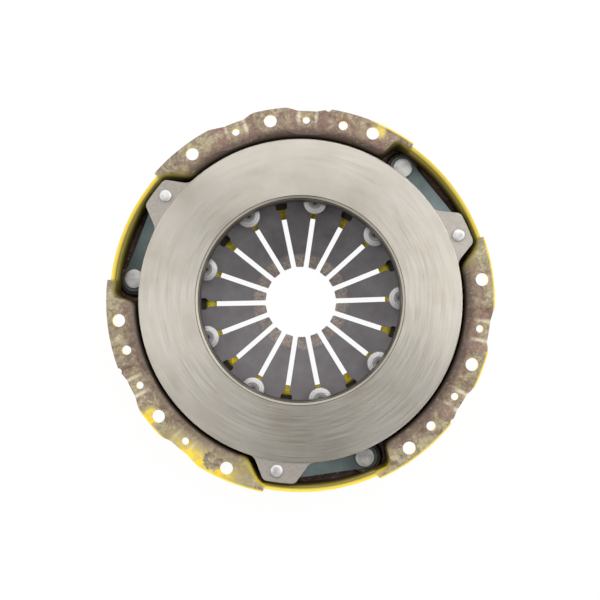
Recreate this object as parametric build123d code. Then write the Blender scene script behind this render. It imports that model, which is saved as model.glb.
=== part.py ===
from build123d import *
import os
from math import atan2, cos, degrees, hypot, radians, sin, tan

# Clutch cover assembly with a diaphragm spring, in millimetres.
# The origin is the bolt circle's centre on the flange's mounting face. +Z points at the flywheel,
# so the ground friction face looks up. +X runs through a bolt hole, and angles are counted from it.
# Everything is in the free state, as it leaves the box: the plate is pushed fully out.

# The pattern around the axis
SECTOR_COUNT = 3
SECTOR_DEG = 360 / SECTOR_COUNT

# Pressure plate, a ground iron casting
FACE_OUTER_R = 113.6
FACE_BORE_R = 73.7
BORE_CHAMFER = 2.2
BORE_DRAFT = 1.2
RIM_CHAMFER = 0.6
LAND_T = 9.5
LAND_W = 12.7
RIM_T = 11.5
RIM_BAND_W = 7.0
BODY_T = 15.0
RIDGE_R = 90.5
RIDGE_ROUND = 2.5
RIDGE_NOTCH_COUNT = 9
RIDGE_NOTCH_W = 6.0
LUG_BASE_DEGS = (7.0, 27.5)
LUG_TOP_DEGS = (12.0, 22.0)
LUG_REACH = 14.4
LUG_STEP = 0.8
LUG_CORNER_R = 4.5
LUG_ROOT_R = 7.0
TRAVEL = 5.5

# Cover, one pressing of steel sheet
SHEET = 3.0
WALL_GAP = 1.8
LUG_GAP = 2.3
BOLT_OUT = 12.6
BOLT_D = 9.0
BOLT_COUNT = 6
EXTRA_BOLT_DEG = -27.0
DOWEL_IN = 1.5
DOWEL_D = 6.5
DOWEL_DEG = -50.3
BALANCE_IN = 0.8
BALANCE_D = 5.2
BALANCE_DEGS = (-38.4, -15.5)
FLANGE_EDGE = 8.1
FLANGE_START_DEG = -72.5
FLANGE_END_DEG = 12.7
FLANGE_BEND_R = 2.5
BLANK_EDGE = 4.0
WALL_TRIM = 0.4
CORNER_R = 1.2
NICK_DEG = -44.9
NICK_D = 4.4
NICK_OUT = 0.4
PANEL_DROP = 1.6
PANEL_DEGS = ((-45.5, -41.5, -36.0, -32.5), (-22.0, -19.0, -12.8, -8.0))
PANEL_EDGE_DROP = 2.4
PANEL_BLEND_R = 12.0
PANEL_CREASE_R = 6.0
FLOOR_DEPTH = 26.0
FLOOR_BEND_R = 4.5
SWEEP_OUT_DEG = 9.0
SWEEP_IN_DEGS = (3.0, 8.5)
SWEEP_HANDLE = 7.0
LIP_R = 61.9
LIP_BEND_R = 5.0
BACK_CLEAR = 2.5
BACK_SLOPE_W = 7.5

# Diaphragm spring, cut from one dished steel disc
FINGER_COUNT = 18
FINGER_FIRST_DEG = 5.1
SPRING_T = 2.7
SPRING_RIM_R = 93.0
SPRING_TIP_R = 25.7
CONE_DEG = 13.0
TIP_CONE_DEG = 9.0
TIP_BEND_R = 36.0
SLOT_W = 3.6
WINDOW_W = 8.4
WINDOW_INNER_R = 69.0
WINDOW_OUTER_R = 80.5
WINDOW_FLARE = 3.0
WINDOW_ROUND = 1.2
TIP_ROUND = 0.8
SPLIT_W = 0.6

# Fulcrum: shouldered rivets and two wire rings
RIVET_R = 71.8
RIVET_HEAD_D = 17.2
RIVET_HEAD_T = 2.5
RIVET_SHANK_D = 6.5
RIVET_TAIL_D = 9.6
RIVET_TAIL_T = 2.2
RIVET_DIMPLE_D = 3.4
WIRE_D = 4.0
RING_GAP = 0.6
HEAD_CLEAR = 1.0

# Drive straps between the cover and the plate's lugs
LEAF_COUNT = 3
LEAF_T = 0.8
STRAP_W = 16.0
STRAP_OVERHANG = 9.0
STRAP_CLAMP = 7.0
LUG_RIVET_OUT = 6.4
LUG_RIVET_DEG = 15.8
LUG_RIVET_HEAD_D = 9.0
LUG_RIVET_HEAD_T = 1.9
LUG_RIVET_SHANK_D = 5.6
LUG_RIVET_TAIL_D = 9.6
LUG_RIVET_TAIL_T = 2.4
SEAT_RIVET_OUT = 7.0
SEAT_RIVET_DEG = 46.0
SEAT_RIVET_HEAD_D = 14.0
SEAT_RIVET_HEAD_T = 2.1
SEAT_RIVET_SHANK_D = 7.0
SEAT_RIVET_TAIL_D = 11.0
SEAT_RIVET_TAIL_T = 2.2
SEAT_HEIGHT = 4.0
SEAT_R = 11.0
ACCESS_D = 15.0
DOME_SHARE = 0.9

# Fits
TOUCH = 0.05
HOLE_GAP = 0.3
RIDGE_GAP = 0.3
LIP_BELOW_TIPS = 0.5

# Radii that follow from the plate's rim outwards
WALL_R = FACE_OUTER_R + WALL_GAP
LUG_TOP_R = FACE_OUTER_R + LUG_REACH
WINDOW_WALL_R = LUG_TOP_R + LUG_GAP
LUG_RIVET_R = FACE_OUTER_R + LUG_RIVET_OUT
SEAT_RIVET_R = FACE_OUTER_R + SEAT_RIVET_OUT
BOLT_R = WALL_R + BOLT_OUT
DOWEL_R = BOLT_R - DOWEL_IN
BALANCE_R = BOLT_R - BALANCE_IN
FLANGE_R = BOLT_R + FLANGE_EDGE
PANEL_R = FLANGE_R - PANEL_EDGE_DROP

# Radii that follow from the bore and the fulcrum rivets
BORE_R = FACE_BORE_R - BORE_CHAMFER
BORE_BACK_R = BORE_R - BORE_DRAFT
LAND_OUTER_R = BORE_BACK_R + LAND_W
RING_R = RIVET_R + RIVET_SHANK_D / 2 + HOLE_GAP / 2 + WIRE_D / 2
BACK_OUTER_R = SPRING_RIM_R + BACK_CLEAR

# Heights that follow from the stack, from the friction face down to the cover's back
HEAD_TOP_Z = -(LAND_T + TRAVEL + HEAD_CLEAR)
HEAD_SEAT_Z = HEAD_TOP_Z - RIVET_HEAD_T
UPPER_RING_Z = HEAD_SEAT_Z - TOUCH - WIRE_D / 2
FULCRUM_Z = UPPER_RING_Z - WIRE_D / 2 - RING_GAP - SPRING_T / 2
LOWER_RING_Z = FULCRUM_Z - SPRING_T / 2 - RING_GAP - WIRE_D / 2
BACK_Z = LOWER_RING_Z - WIRE_D / 2 - TOUCH
FLOOR_Z = -FLOOR_DEPTH
FLOOR_BOTTOM_Z = FLOOR_Z - SHEET
SEAT_Z = FLOOR_Z + SEAT_HEIGHT
TIP_Z = (FULCRUM_Z - (RING_R - TIP_BEND_R) * tan(radians(CONE_DEG))
         - (TIP_BEND_R - SPRING_TIP_R) * tan(radians(TIP_CONE_DEG)))
LIP_Z = TIP_Z - SPRING_T / 2 / cos(radians(TIP_CONE_DEG)) - LIP_BELOW_TIPS
PACK_T = LEAF_COUNT * LEAF_T + (LEAF_COUNT - 1) * TOUCH
PACK_TOP_Z = -RIM_T - TOUCH

# How far a cutting tool reaches past what it cuts
REACH = 60.0


def polar(radius, angle):
    """Point in the plan at a radius and an angle in degrees."""
    return Vector(radius * cos(radians(angle)), radius * sin(radians(angle)), 0)


def around(count, shape):
    """Copies of a shape, evenly spaced around the axis."""
    return [Rot(0, 0, 360 / count * turn) * shape for turn in range(count)]


def arc(radius, start, end):
    """Arc about the axis between two angles."""
    return ThreePointArc(polar(radius, start), polar(radius, (start + end) / 2), polar(radius, end))


def rod(diameter, low, high, place=(0, 0)):
    """Upright cylinder between two heights."""
    middle = Pos(place[0], place[1], (low + high) / 2)
    return middle * Cylinder(diameter / 2, high - low)


def sweep_curve(radius_a, angle_a, radius_b, angle_b, handle):
    """S-shaped stretch of wall that leaves one arc and joins the other without a corner."""
    start = polar(radius_a, angle_a)
    end = polar(radius_b, angle_b)
    leave = polar(handle, angle_a + 90)
    join = polar(handle, angle_b + 90)
    return Bezier(start, start + leave, end - join, end)


def tray_outline(inset):
    """Plan of the cover's wall: tight round the plate, and swept out around each lug and strap.

    inset is 0 on the inner surface of the wall and the sheet's thickness on the outer one.
    """
    low = WALL_R + inset
    high = WINDOW_WALL_R + inset
    shift = degrees(inset / LUG_TOP_R)
    edges = []
    for turn in range(SECTOR_COUNT):
        out = turn * SECTOR_DEG + FLANGE_END_DEG - shift
        back = (turn + 1) * SECTOR_DEG + FLANGE_START_DEG + shift
        leave, home = (back + angle for angle in SWEEP_IN_DEGS)
        edges.append(sweep_curve(low, out - SWEEP_OUT_DEG, high, out, SWEEP_HANDLE))
        edges.append(arc(high, out, leave))
        edges.append(sweep_curve(high, leave, low, home, SWEEP_HANDLE))
        edges.append(arc(low, home, out + SECTOR_DEG - SWEEP_OUT_DEG))
    return make_face(edges)


def flange_sector():
    """Plan of one third of the flange, stepped back at its edge beside each bolt pad."""
    inner_r = WALL_R - SHEET
    edges = []
    angle = FLANGE_START_DEG
    for start, low_start, low_end, end in PANEL_DEGS:
        edges.append(arc(FLANGE_R, angle, start))
        edges.append(Line(polar(FLANGE_R, start), polar(PANEL_R, low_start)))
        edges.append(arc(PANEL_R, low_start, low_end))
        edges.append(Line(polar(PANEL_R, low_end), polar(FLANGE_R, end)))
        angle = end
    edges.append(arc(FLANGE_R, angle, FLANGE_END_DEG))
    edges.append(Line(polar(FLANGE_R, FLANGE_END_DEG), polar(inner_r, FLANGE_END_DEG)))
    edges.append(arc(inner_r, FLANGE_END_DEG, FLANGE_START_DEG))
    edges.append(Line(polar(inner_r, FLANGE_START_DEG), polar(FLANGE_R, FLANGE_START_DEG)))
    plan = make_face(edges)
    for angle in (FLANGE_START_DEG, FLANGE_END_DEG):
        plan = fillet(plan.vertices().sort_by_distance(polar(FLANGE_R, angle))[0], CORNER_R)
    for start, low_start, low_end, end in PANEL_DEGS:
        for radius, angle in ((FLANGE_R, start), (PANEL_R, low_start), (PANEL_R, low_end), (FLANGE_R, end)):
            plan = fillet(plan.vertices().sort_by_distance(polar(radius, angle))[0], PANEL_BLEND_R)
    return plan


def panel_prism(degs, top):
    """Shallow trough across the flange, with sloped ends; its floor lies PANEL_DROP below top."""
    start, low_start, low_end, end = degs
    middle = (low_start + low_end) / 2
    across = [BOLT_R * sin(radians(angle - middle)) for angle in degs]
    section = make_face(Polyline(
        (across[0], top), (across[1], top - PANEL_DROP), (across[2], top - PANEL_DROP), (across[3], top),
        close=True))
    section = fillet(section.vertices().group_by(Axis.Y)[0], PANEL_CREASE_R)
    prism = extrude(Plane.YZ * section, REACH)
    return Rot(0, 0, middle) * Pos(WALL_R, 0, 0) * prism


def cover_plan():
    """Plan that the drawn cover is trimmed to: three stretches of flange, and the bare wall between."""
    plan = Circle(WINDOW_WALL_R + SHEET + WALL_TRIM)
    for sector in around(SECTOR_COUNT, flange_sector()):
        plan += sector
    place = polar(FLANGE_R + NICK_OUT, NICK_DEG)
    nick = Pos(place.X, place.Y, 0) * Circle(NICK_D / 2)
    return plan - around(SECTOR_COUNT, nick)


def cover_back():
    """Dished back of the cover: floor ring, slope, flat annulus for the rivets, and turned lip."""
    floor_r = WALL_R - SHEET
    slope_r = BACK_OUTER_R + BACK_SLOPE_W
    bend_r = LIP_R + LIP_BEND_R
    lip_outer_r = LIP_R + SHEET
    edges = [
        Line((floor_r, FLOOR_Z), (slope_r, FLOOR_Z)),
        Line((slope_r, FLOOR_Z), (BACK_OUTER_R, BACK_Z)),
        Line((BACK_OUTER_R, BACK_Z), (bend_r, BACK_Z)),
        RadiusArc((bend_r, BACK_Z), (LIP_R, BACK_Z - LIP_BEND_R), LIP_BEND_R),
        Line((LIP_R, BACK_Z - LIP_BEND_R), (LIP_R, LIP_Z)),
        Line((LIP_R, LIP_Z), (lip_outer_r, LIP_Z)),
        Line((lip_outer_r, LIP_Z), (lip_outer_r, BACK_Z - LIP_BEND_R)),
        RadiusArc((lip_outer_r, BACK_Z - LIP_BEND_R), (bend_r, BACK_Z - SHEET), SHEET - LIP_BEND_R),
        Line((bend_r, BACK_Z - SHEET), (BACK_OUTER_R, BACK_Z - SHEET)),
        Line((BACK_OUTER_R, BACK_Z - SHEET), (slope_r, FLOOR_BOTTOM_Z)),
        Line((slope_r, FLOOR_BOTTOM_Z), (floor_r, FLOOR_BOTTOM_Z)),
        Line((floor_r, FLOOR_BOTTOM_Z), (floor_r, FLOOR_Z)),
    ]
    return revolve(Plane.XZ * make_face(edges), Axis.Z)


def bend_edges(shell, inset):
    """Closed run of edges between the wall and the flange; inset picks the wall's inner or outer side."""
    def belongs(edge):
        middle = edge @ 0.5
        radius = hypot(middle.X, middle.Y)
        level = abs(middle.Z + inset) < TOUCH
        return level and WALL_R + inset - TOUCH < radius < WINDOW_WALL_R + inset + TOUCH
    return [edge for edge in shell.edges() if belongs(edge)]


def tray():
    """Walls, floor and flange of the cover: drawn with a whole flange, trimmed, and its panels set down."""
    shell = extrude(Pos(0, 0, FLOOR_BOTTOM_Z) * tray_outline(SHEET), FLOOR_DEPTH + SHEET)
    shell = fillet(shell.faces().sort_by(Axis.Z)[0].edges(), FLOOR_BEND_R)
    shell += rod(2 * (FLANGE_R + BLANK_EDGE), -SHEET, 0)
    shell = fillet(bend_edges(shell, SHEET), FLANGE_BEND_R)
    hollow = extrude(Pos(0, 0, FLOOR_Z) * tray_outline(0), REACH)
    hollow = fillet(hollow.faces().sort_by(Axis.Z)[0].edges(), FLOOR_BEND_R - SHEET)
    shell -= hollow
    shell = fillet(bend_edges(shell, 0), FLANGE_BEND_R + SHEET)
    plan = cover_plan()
    shell &= extrude(Pos(0, 0, -REACH) * plan, REACH)
    below = extrude(Pos(0, 0, -SHEET - PANEL_DROP) * (plan - tray_outline(SHEET / 2)), PANEL_DROP)
    for degs in PANEL_DEGS:
        shell -= around(SECTOR_COUNT, panel_prism(degs, 0))
        for prism in around(SECTOR_COUNT, panel_prism(degs, -SHEET)):
            shell += below & prism
    return shell - rod(2 * (WALL_R - SHEET), -REACH, 0)


def strap_seat():
    """Raised seat in the cover's floor, which carries the fixed end of one strap."""
    place = polar(SEAT_RIVET_R, SEAT_RIVET_DEG)
    height = SEAT_Z - FLOOR_BOTTOM_Z
    cone = Cone(SEAT_R + height / 2, SEAT_R, height)
    raised = Pos(place.X, place.Y, (FLOOR_BOTTOM_Z + SEAT_Z) / 2) * cone
    return raised & extrude(Pos(0, 0, FLOOR_BOTTOM_Z) * tray_outline(SHEET / 2), REACH)


def flange_holes():
    """Every hole through the flange: bolts, dowels and balance rivets."""
    low = -SHEET - PANEL_DROP
    holes = around(BOLT_COUNT, rod(BOLT_D, low, 0, (BOLT_R, 0)))
    rows = [(BOLT_R, BOLT_D, EXTRA_BOLT_DEG), (DOWEL_R, DOWEL_D, DOWEL_DEG)]
    rows += [(BALANCE_R, BALANCE_D, angle) for angle in BALANCE_DEGS]
    for radius, diameter, angle in rows:
        place = polar(radius, angle)
        holes += around(SECTOR_COUNT, rod(diameter, low, 0, (place.X, place.Y)))
    return holes


def floor_holes():
    """Holes for the strap rivets, the hollows under their seats, and access holes below the lugs."""
    seat = polar(SEAT_RIVET_R, SEAT_RIVET_DEG)
    lug = polar(LUG_RIVET_R, LUG_RIVET_DEG)
    hollow = rod(2 * (SEAT_R - SHEET), FLOOR_BOTTOM_Z, SEAT_Z - SHEET, (seat.X, seat.Y))
    hole = rod(SEAT_RIVET_SHANK_D + TOUCH, FLOOR_BOTTOM_Z, SEAT_Z, (seat.X, seat.Y))
    access = rod(ACCESS_D, FLOOR_BOTTOM_Z, FLOOR_Z, (lug.X, lug.Y))
    return [copy for cut in (hollow, hole, access) for copy in around(SECTOR_COUNT, cut)]


def fulcrum_places(shape):
    """Copies of a shape at every other slot of the spring, where the fulcrum rivets pass."""
    first = FINGER_FIRST_DEG - 180 / FINGER_COUNT
    return [Rot(0, 0, first) * copy for copy in around(FINGER_COUNT // 2, shape)]


def cover():
    """Whole cover: tray, back, strap seats and every hole."""
    shell = tray() + cover_back()
    for seat in around(SECTOR_COUNT, strap_seat()):
        shell += seat
    rivet_hole = rod(RIVET_SHANK_D + TOUCH, BACK_Z - SHEET, BACK_Z, (RIVET_R, 0))
    return shell - (flange_holes() + floor_holes() + fulcrum_places(rivet_hole))


def lug_plan():
    """Plan of one lug with its root buried in the plate's rim."""
    root_r = FACE_OUTER_R - RIM_BAND_W / 2
    lean = (LUG_BASE_DEGS[0] - LUG_TOP_DEGS[0]) / (LUG_TOP_R - FACE_OUTER_R)
    root_degs = (LUG_BASE_DEGS[0] + lean * (FACE_OUTER_R - root_r),
                 LUG_BASE_DEGS[1] - lean * (FACE_OUTER_R - root_r))
    tip = arc(LUG_TOP_R, LUG_TOP_DEGS[0], LUG_TOP_DEGS[1])
    plan = make_face([
        Line(polar(root_r, root_degs[0]), polar(LUG_TOP_R, LUG_TOP_DEGS[0])),
        tip,
        Line(polar(LUG_TOP_R, LUG_TOP_DEGS[1]), polar(root_r, root_degs[1])),
        Line(polar(root_r, root_degs[1]), polar(root_r, root_degs[0])),
    ])
    corners = [vertex for vertex in plan.vertices() if hypot(vertex.X, vertex.Y) > FACE_OUTER_R]
    return fillet(corners, LUG_CORNER_R)


def plate_section():
    """Half section of the plate: ground face, drafted bore, thin inner land, and fulcrum ridge."""
    ridge_z = ridge_centre_z()
    band_r = FACE_OUTER_R - RIM_BAND_W
    step = BODY_T - RIM_T
    edges = [
        Line((FACE_BORE_R, 0), (FACE_OUTER_R - RIM_CHAMFER, 0)),
        Line((FACE_OUTER_R - RIM_CHAMFER, 0), (FACE_OUTER_R, -RIM_CHAMFER)),
        Line((FACE_OUTER_R, -RIM_CHAMFER), (FACE_OUTER_R, -RIM_T)),
        Line((FACE_OUTER_R, -RIM_T), (band_r, -RIM_T)),
        Line((band_r, -RIM_T), (band_r - step, -BODY_T)),
        Line((band_r - step, -BODY_T), (RIDGE_R + RIDGE_ROUND, -BODY_T)),
        Line((RIDGE_R + RIDGE_ROUND, -BODY_T), (RIDGE_R + RIDGE_ROUND, ridge_z)),
        ThreePointArc((RIDGE_R + RIDGE_ROUND, ridge_z), (RIDGE_R, ridge_z - RIDGE_ROUND),
                      (RIDGE_R - RIDGE_ROUND, ridge_z)),
        Line((RIDGE_R - RIDGE_ROUND, ridge_z), (RIDGE_R - RIDGE_ROUND, -BODY_T)),
        Line((RIDGE_R - RIDGE_ROUND, -BODY_T), (LAND_OUTER_R, -LAND_T)),
        Line((LAND_OUTER_R, -LAND_T), (BORE_BACK_R, -LAND_T)),
        Line((BORE_BACK_R, -LAND_T), (BORE_R, -BORE_CHAMFER)),
        Line((BORE_R, -BORE_CHAMFER), (FACE_BORE_R, 0)),
    ]
    return Plane.XZ * make_face(edges)


def ridge_centre_z():
    """Height of the ridge's rounding, so that it clears the dished spring by RIDGE_GAP."""
    cone = radians(CONE_DEG)
    clear = SPRING_T / 2 + RIDGE_ROUND + RIDGE_GAP
    return FULCRUM_Z + (clear + (RIDGE_R - RING_R) * sin(cone)) / cos(cone)


def pressure_plate():
    """Friction plate with three lugs, and a ridge on its back that the spring pushes on."""
    plan = Circle(FACE_OUTER_R) - Circle(FACE_OUTER_R - RIM_BAND_W)
    for lug in around(SECTOR_COUNT, lug_plan()):
        plan += lug
    roots = [vertex for vertex in plan.vertices()
             if abs(hypot(vertex.X, vertex.Y) - FACE_OUTER_R) < TOUCH
             and abs(vertex.X - FACE_OUTER_R) > TOUCH]
    plan = fillet(roots, LUG_ROOT_R)
    plate = revolve(plate_section(), Axis.Z)
    plate += extrude(Pos(0, 0, -RIM_T) * plan, RIM_T - LUG_STEP)
    notch = Pos(RIDGE_R, 0, -BODY_T - REACH / 2) * Box(4 * RIDGE_ROUND, RIDGE_NOTCH_W, REACH)
    hole = polar(LUG_RIVET_R, LUG_RIVET_DEG)
    rivet_hole = rod(LUG_RIVET_SHANK_D + TOUCH, -RIM_T, -LUG_STEP, (hole.X, hole.Y))
    return plate - (around(RIDGE_NOTCH_COUNT, notch) + around(SECTOR_COUNT, rivet_hole))


def slot_side(side):
    """Points along one side of a finger, from tip to rim: slot, window round the rivet, split."""
    half = radians(180 / FINGER_COUNT)
    steps = (
        (SPRING_TIP_R, SLOT_W), (WINDOW_INNER_R - WINDOW_FLARE, SLOT_W), (WINDOW_INNER_R, WINDOW_W),
        (WINDOW_OUTER_R, WINDOW_W), (WINDOW_OUTER_R, SPLIT_W), (SPRING_RIM_R, SPLIT_W))
    points = []
    for radius, width in steps:
        x = radius * cos(half) + width / 2 * sin(half)
        y = radius * sin(half) - width / 2 * cos(half)
        points.append((x, side * y))
    return points


def finger_plan():
    """Plan of one sector of the spring: a lever from the tip, past the fulcrum, to the rim."""
    upper = slot_side(1)
    lower = slot_side(-1)
    edges = [Line(a, b) for a, b in zip(upper[:-1], upper[1:])]
    edges += [Line(a, b) for a, b in zip(lower[:-1], lower[1:])]
    edges.append(ThreePointArc(upper[0], (hypot(*upper[0]), 0), lower[0]))
    edges.append(ThreePointArc(upper[-1], (hypot(*upper[-1]), 0), lower[-1]))
    plan = make_face(edges)
    plan = fillet([vertex for vertex in plan.vertices() if vertex.X < TIP_BEND_R], TIP_ROUND)
    corners = [vertex for vertex in plan.vertices()
               if TIP_BEND_R < hypot(vertex.X, vertex.Y) < WINDOW_OUTER_R + TOUCH + SPLIT_W
               and abs(vertex.Y) > SLOT_W]
    return fillet(corners, WINDOW_ROUND)


def spring_shell():
    """Dished sheet of the spring, before it is cut: a cone, with flatter tips."""
    cone = radians(CONE_DEG)
    tip = radians(TIP_CONE_DEG)
    past = SPRING_T
    bend_z = FULCRUM_Z - (RING_R - TIP_BEND_R) * tan(cone)
    middle = [
        (SPRING_RIM_R + past, FULCRUM_Z + (SPRING_RIM_R + past - RING_R) * tan(cone), cone),
        (TIP_BEND_R, bend_z, (cone + tip) / 2),
        (SPRING_TIP_R - past, bend_z - (TIP_BEND_R - SPRING_TIP_R + past) * tan(tip), tip)]
    top = [(x, z + SPRING_T / 2 / cos(lean)) for x, z, lean in middle]
    bottom = [(x, z - SPRING_T / 2 / cos(lean)) for x, z, lean in middle]
    section = make_face(Polyline(*top, *reversed(bottom), close=True))
    half = 270 / FINGER_COUNT
    return Rot(0, 0, -half) * revolve(Plane.XZ * section, Axis.Z, 2 * half)


def finger():
    """One sector of the spring."""
    return spring_shell() & extrude(Pos(0, 0, -REACH) * finger_plan(), REACH)


def fulcrum_ring(height):
    """Wire ring that the spring tilts against."""
    section = Plane.XZ * Pos(RING_R, height) * Circle(WIRE_D / 2)
    return revolve(section, Axis.Z)


def fulcrum_rivet():
    """Rivet through the cover and a window of the spring; its head holds the upper ring."""
    head = rod(RIVET_HEAD_D, HEAD_SEAT_Z, HEAD_TOP_Z)
    head = fillet(head.edges().group_by(Axis.Z)[-1], RIVET_HEAD_T / 2)
    head -= Pos(0, 0, HEAD_TOP_Z) * Sphere(RIVET_DIMPLE_D / 2)
    tail_z = BACK_Z - SHEET - TOUCH
    tail = rod(RIVET_TAIL_D, tail_z - RIVET_TAIL_T, tail_z)
    tail = chamfer(tail.edges().group_by(Axis.Z)[0], RIVET_TAIL_T / 3)
    return Pos(RIVET_R, 0, 0) * (head + rod(RIVET_SHANK_D, tail_z - TOUCH, HEAD_SEAT_Z + TOUCH) + tail)


def strap_span():
    """Distance between the two rivets of a strap, and the turn from +X to its run."""
    fixed = polar(SEAT_RIVET_R, SEAT_RIVET_DEG)
    moving = polar(LUG_RIVET_R, LUG_RIVET_DEG)
    run = moving - fixed
    return run.length, degrees(atan2(run.Y, run.X))


def strap_leaf(number):
    """One spring-steel leaf, bent as far as the plate stands out; number 0 lies lowest."""
    span, turn = strap_span()
    lift = number * (LEAF_T + TOUCH)
    fixed_z = SEAT_Z + TOUCH + lift
    moving_z = PACK_TOP_Z - PACK_T + lift
    start = STRAP_CLAMP
    end = span - STRAP_CLAMP
    third = (end - start) / 3
    reach = STRAP_W

    def side(rise):
        low = fixed_z + rise
        high = moving_z + rise
        return [
            Line((-reach, low), (start, low)),
            Bezier((start, low), (start + third, low), (end - third, high), (end, high)),
            Line((end, high), (span + reach, high))]

    section = make_face(side(0) + side(LEAF_T) + [
        Line((-reach, fixed_z), (-reach, fixed_z + LEAF_T)),
        Line((span + reach, moving_z), (span + reach, moving_z + LEAF_T))])
    leaf = extrude(Plane.XZ * section, STRAP_W / 2, both=True)
    length = span + 2 * STRAP_OVERHANG
    outline = Pos(span / 2, 0) * RectangleRounded(length, STRAP_W + TOUCH, STRAP_W / 2 - TOUCH)
    leaf &= extrude(Pos(0, 0, -REACH) * outline, REACH)
    leaf -= rod(SEAT_RIVET_SHANK_D + 2 * HOLE_GAP, -REACH, 0)
    leaf -= rod(LUG_RIVET_SHANK_D + 2 * HOLE_GAP, -REACH, 0, (span, 0))
    fixed = polar(SEAT_RIVET_R, SEAT_RIVET_DEG)
    return Pos(fixed.X, fixed.Y, 0) * Rot(0, 0, turn) * leaf


def domed_head(diameter, seat, height):
    """Low domed rivet head on a seat."""
    head = rod(diameter, seat, seat + height)
    return fillet(head.edges().group_by(Axis.Z)[-1], DOME_SHARE * height)


def flat_tail(diameter, seat, height):
    """Upset tail of a rivet, below a seat."""
    tail = rod(diameter, seat - height, seat)
    return chamfer(tail.edges().group_by(Axis.Z)[0], height / 3)


def seat_rivet():
    """Large-headed rivet that holds a strap's fixed end on the cover."""
    head_z = SEAT_Z + PACK_T + 2 * TOUCH
    tail_z = SEAT_Z - SHEET - TOUCH
    rivet = domed_head(SEAT_RIVET_HEAD_D, head_z, SEAT_RIVET_HEAD_T)
    rivet += rod(SEAT_RIVET_SHANK_D, tail_z - TOUCH, head_z + TOUCH)
    rivet += flat_tail(SEAT_RIVET_TAIL_D, tail_z, SEAT_RIVET_TAIL_T)
    place = polar(SEAT_RIVET_R, SEAT_RIVET_DEG)
    return Pos(place.X, place.Y, 0) * rivet


def lug_rivet():
    """Rivet that holds a strap's moving end under a lug."""
    head_z = TOUCH - LUG_STEP
    tail_z = PACK_TOP_Z - PACK_T - TOUCH
    rivet = domed_head(LUG_RIVET_HEAD_D, head_z, LUG_RIVET_HEAD_T)
    rivet += rod(LUG_RIVET_SHANK_D, tail_z - TOUCH, head_z + TOUCH)
    rivet += flat_tail(LUG_RIVET_TAIL_D, tail_z, LUG_RIVET_TAIL_T)
    place = polar(LUG_RIVET_R, LUG_RIVET_DEG)
    return Pos(place.X, place.Y, 0) * rivet


def parts():
    """Every piece by name."""
    pieces = {
        "cover": cover(),
        "pressure_plate": pressure_plate(),
        "upper_fulcrum_ring": fulcrum_ring(UPPER_RING_Z),
        "lower_fulcrum_ring": fulcrum_ring(LOWER_RING_Z),
    }
    blade = Rot(0, 0, FINGER_FIRST_DEG) * finger()
    for number, copy in enumerate(around(FINGER_COUNT, blade), 1):
        pieces[f"spring_finger_{number:02d}"] = copy
    for number, copy in enumerate(fulcrum_places(fulcrum_rivet()), 1):
        pieces[f"fulcrum_rivet_{number}"] = copy
    for layer in range(LEAF_COUNT):
        for number, copy in enumerate(around(SECTOR_COUNT, strap_leaf(layer)), 1):
            pieces[f"strap_{number}_leaf_{layer + 1}"] = copy
    for number, copy in enumerate(around(SECTOR_COUNT, seat_rivet()), 1):
        pieces[f"strap_seat_rivet_{number}"] = copy
    for number, copy in enumerate(around(SECTOR_COUNT, lug_rivet()), 1):
        pieces[f"lug_rivet_{number}"] = copy
    return pieces


os.makedirs("parts", exist_ok=True)
for name, piece in parts().items():
    export_step(piece, f"parts/{name}.step")
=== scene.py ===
import bmesh
import bpy
import numpy as np
from math import atan2, cos, pi, radians, sin
from mathutils import Matrix, Vector


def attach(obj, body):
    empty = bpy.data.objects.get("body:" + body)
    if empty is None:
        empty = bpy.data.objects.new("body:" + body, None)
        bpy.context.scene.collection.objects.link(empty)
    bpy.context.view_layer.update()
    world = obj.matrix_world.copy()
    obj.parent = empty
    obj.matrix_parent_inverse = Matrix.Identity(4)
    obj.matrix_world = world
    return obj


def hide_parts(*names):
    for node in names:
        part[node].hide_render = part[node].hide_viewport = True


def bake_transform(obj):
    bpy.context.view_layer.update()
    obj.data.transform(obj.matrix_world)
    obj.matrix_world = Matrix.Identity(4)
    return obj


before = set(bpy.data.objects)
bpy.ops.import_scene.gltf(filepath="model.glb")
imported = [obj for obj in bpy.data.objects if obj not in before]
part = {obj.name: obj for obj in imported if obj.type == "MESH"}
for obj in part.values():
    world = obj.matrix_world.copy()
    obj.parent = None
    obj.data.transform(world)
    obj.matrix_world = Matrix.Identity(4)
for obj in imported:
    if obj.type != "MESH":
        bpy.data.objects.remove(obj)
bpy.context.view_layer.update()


# Cover: one deep pressing of 3 mm steel sheet. It was sprayed yellow from the gearbox side, so the
# walls, the back and the edges are yellow. The mounting face kept the brown scale of the mill, with
# olive overspray, and it is scuffed pale round its holes; the pale lines along its creases are partly
# scuffs and partly painted highlight.
def linear(code):
    """Turn an sRGB colour such as '8a7a55' into the linear colour that nodes take."""
    value = np.array([int(code[place:place + 2], 16) for place in (0, 2, 4)]) / 255
    value = np.where(value <= 0.04045, value / 12.92, ((value + 0.055) / 1.055) ** 2.4)
    return (*value, 1.0)


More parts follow.
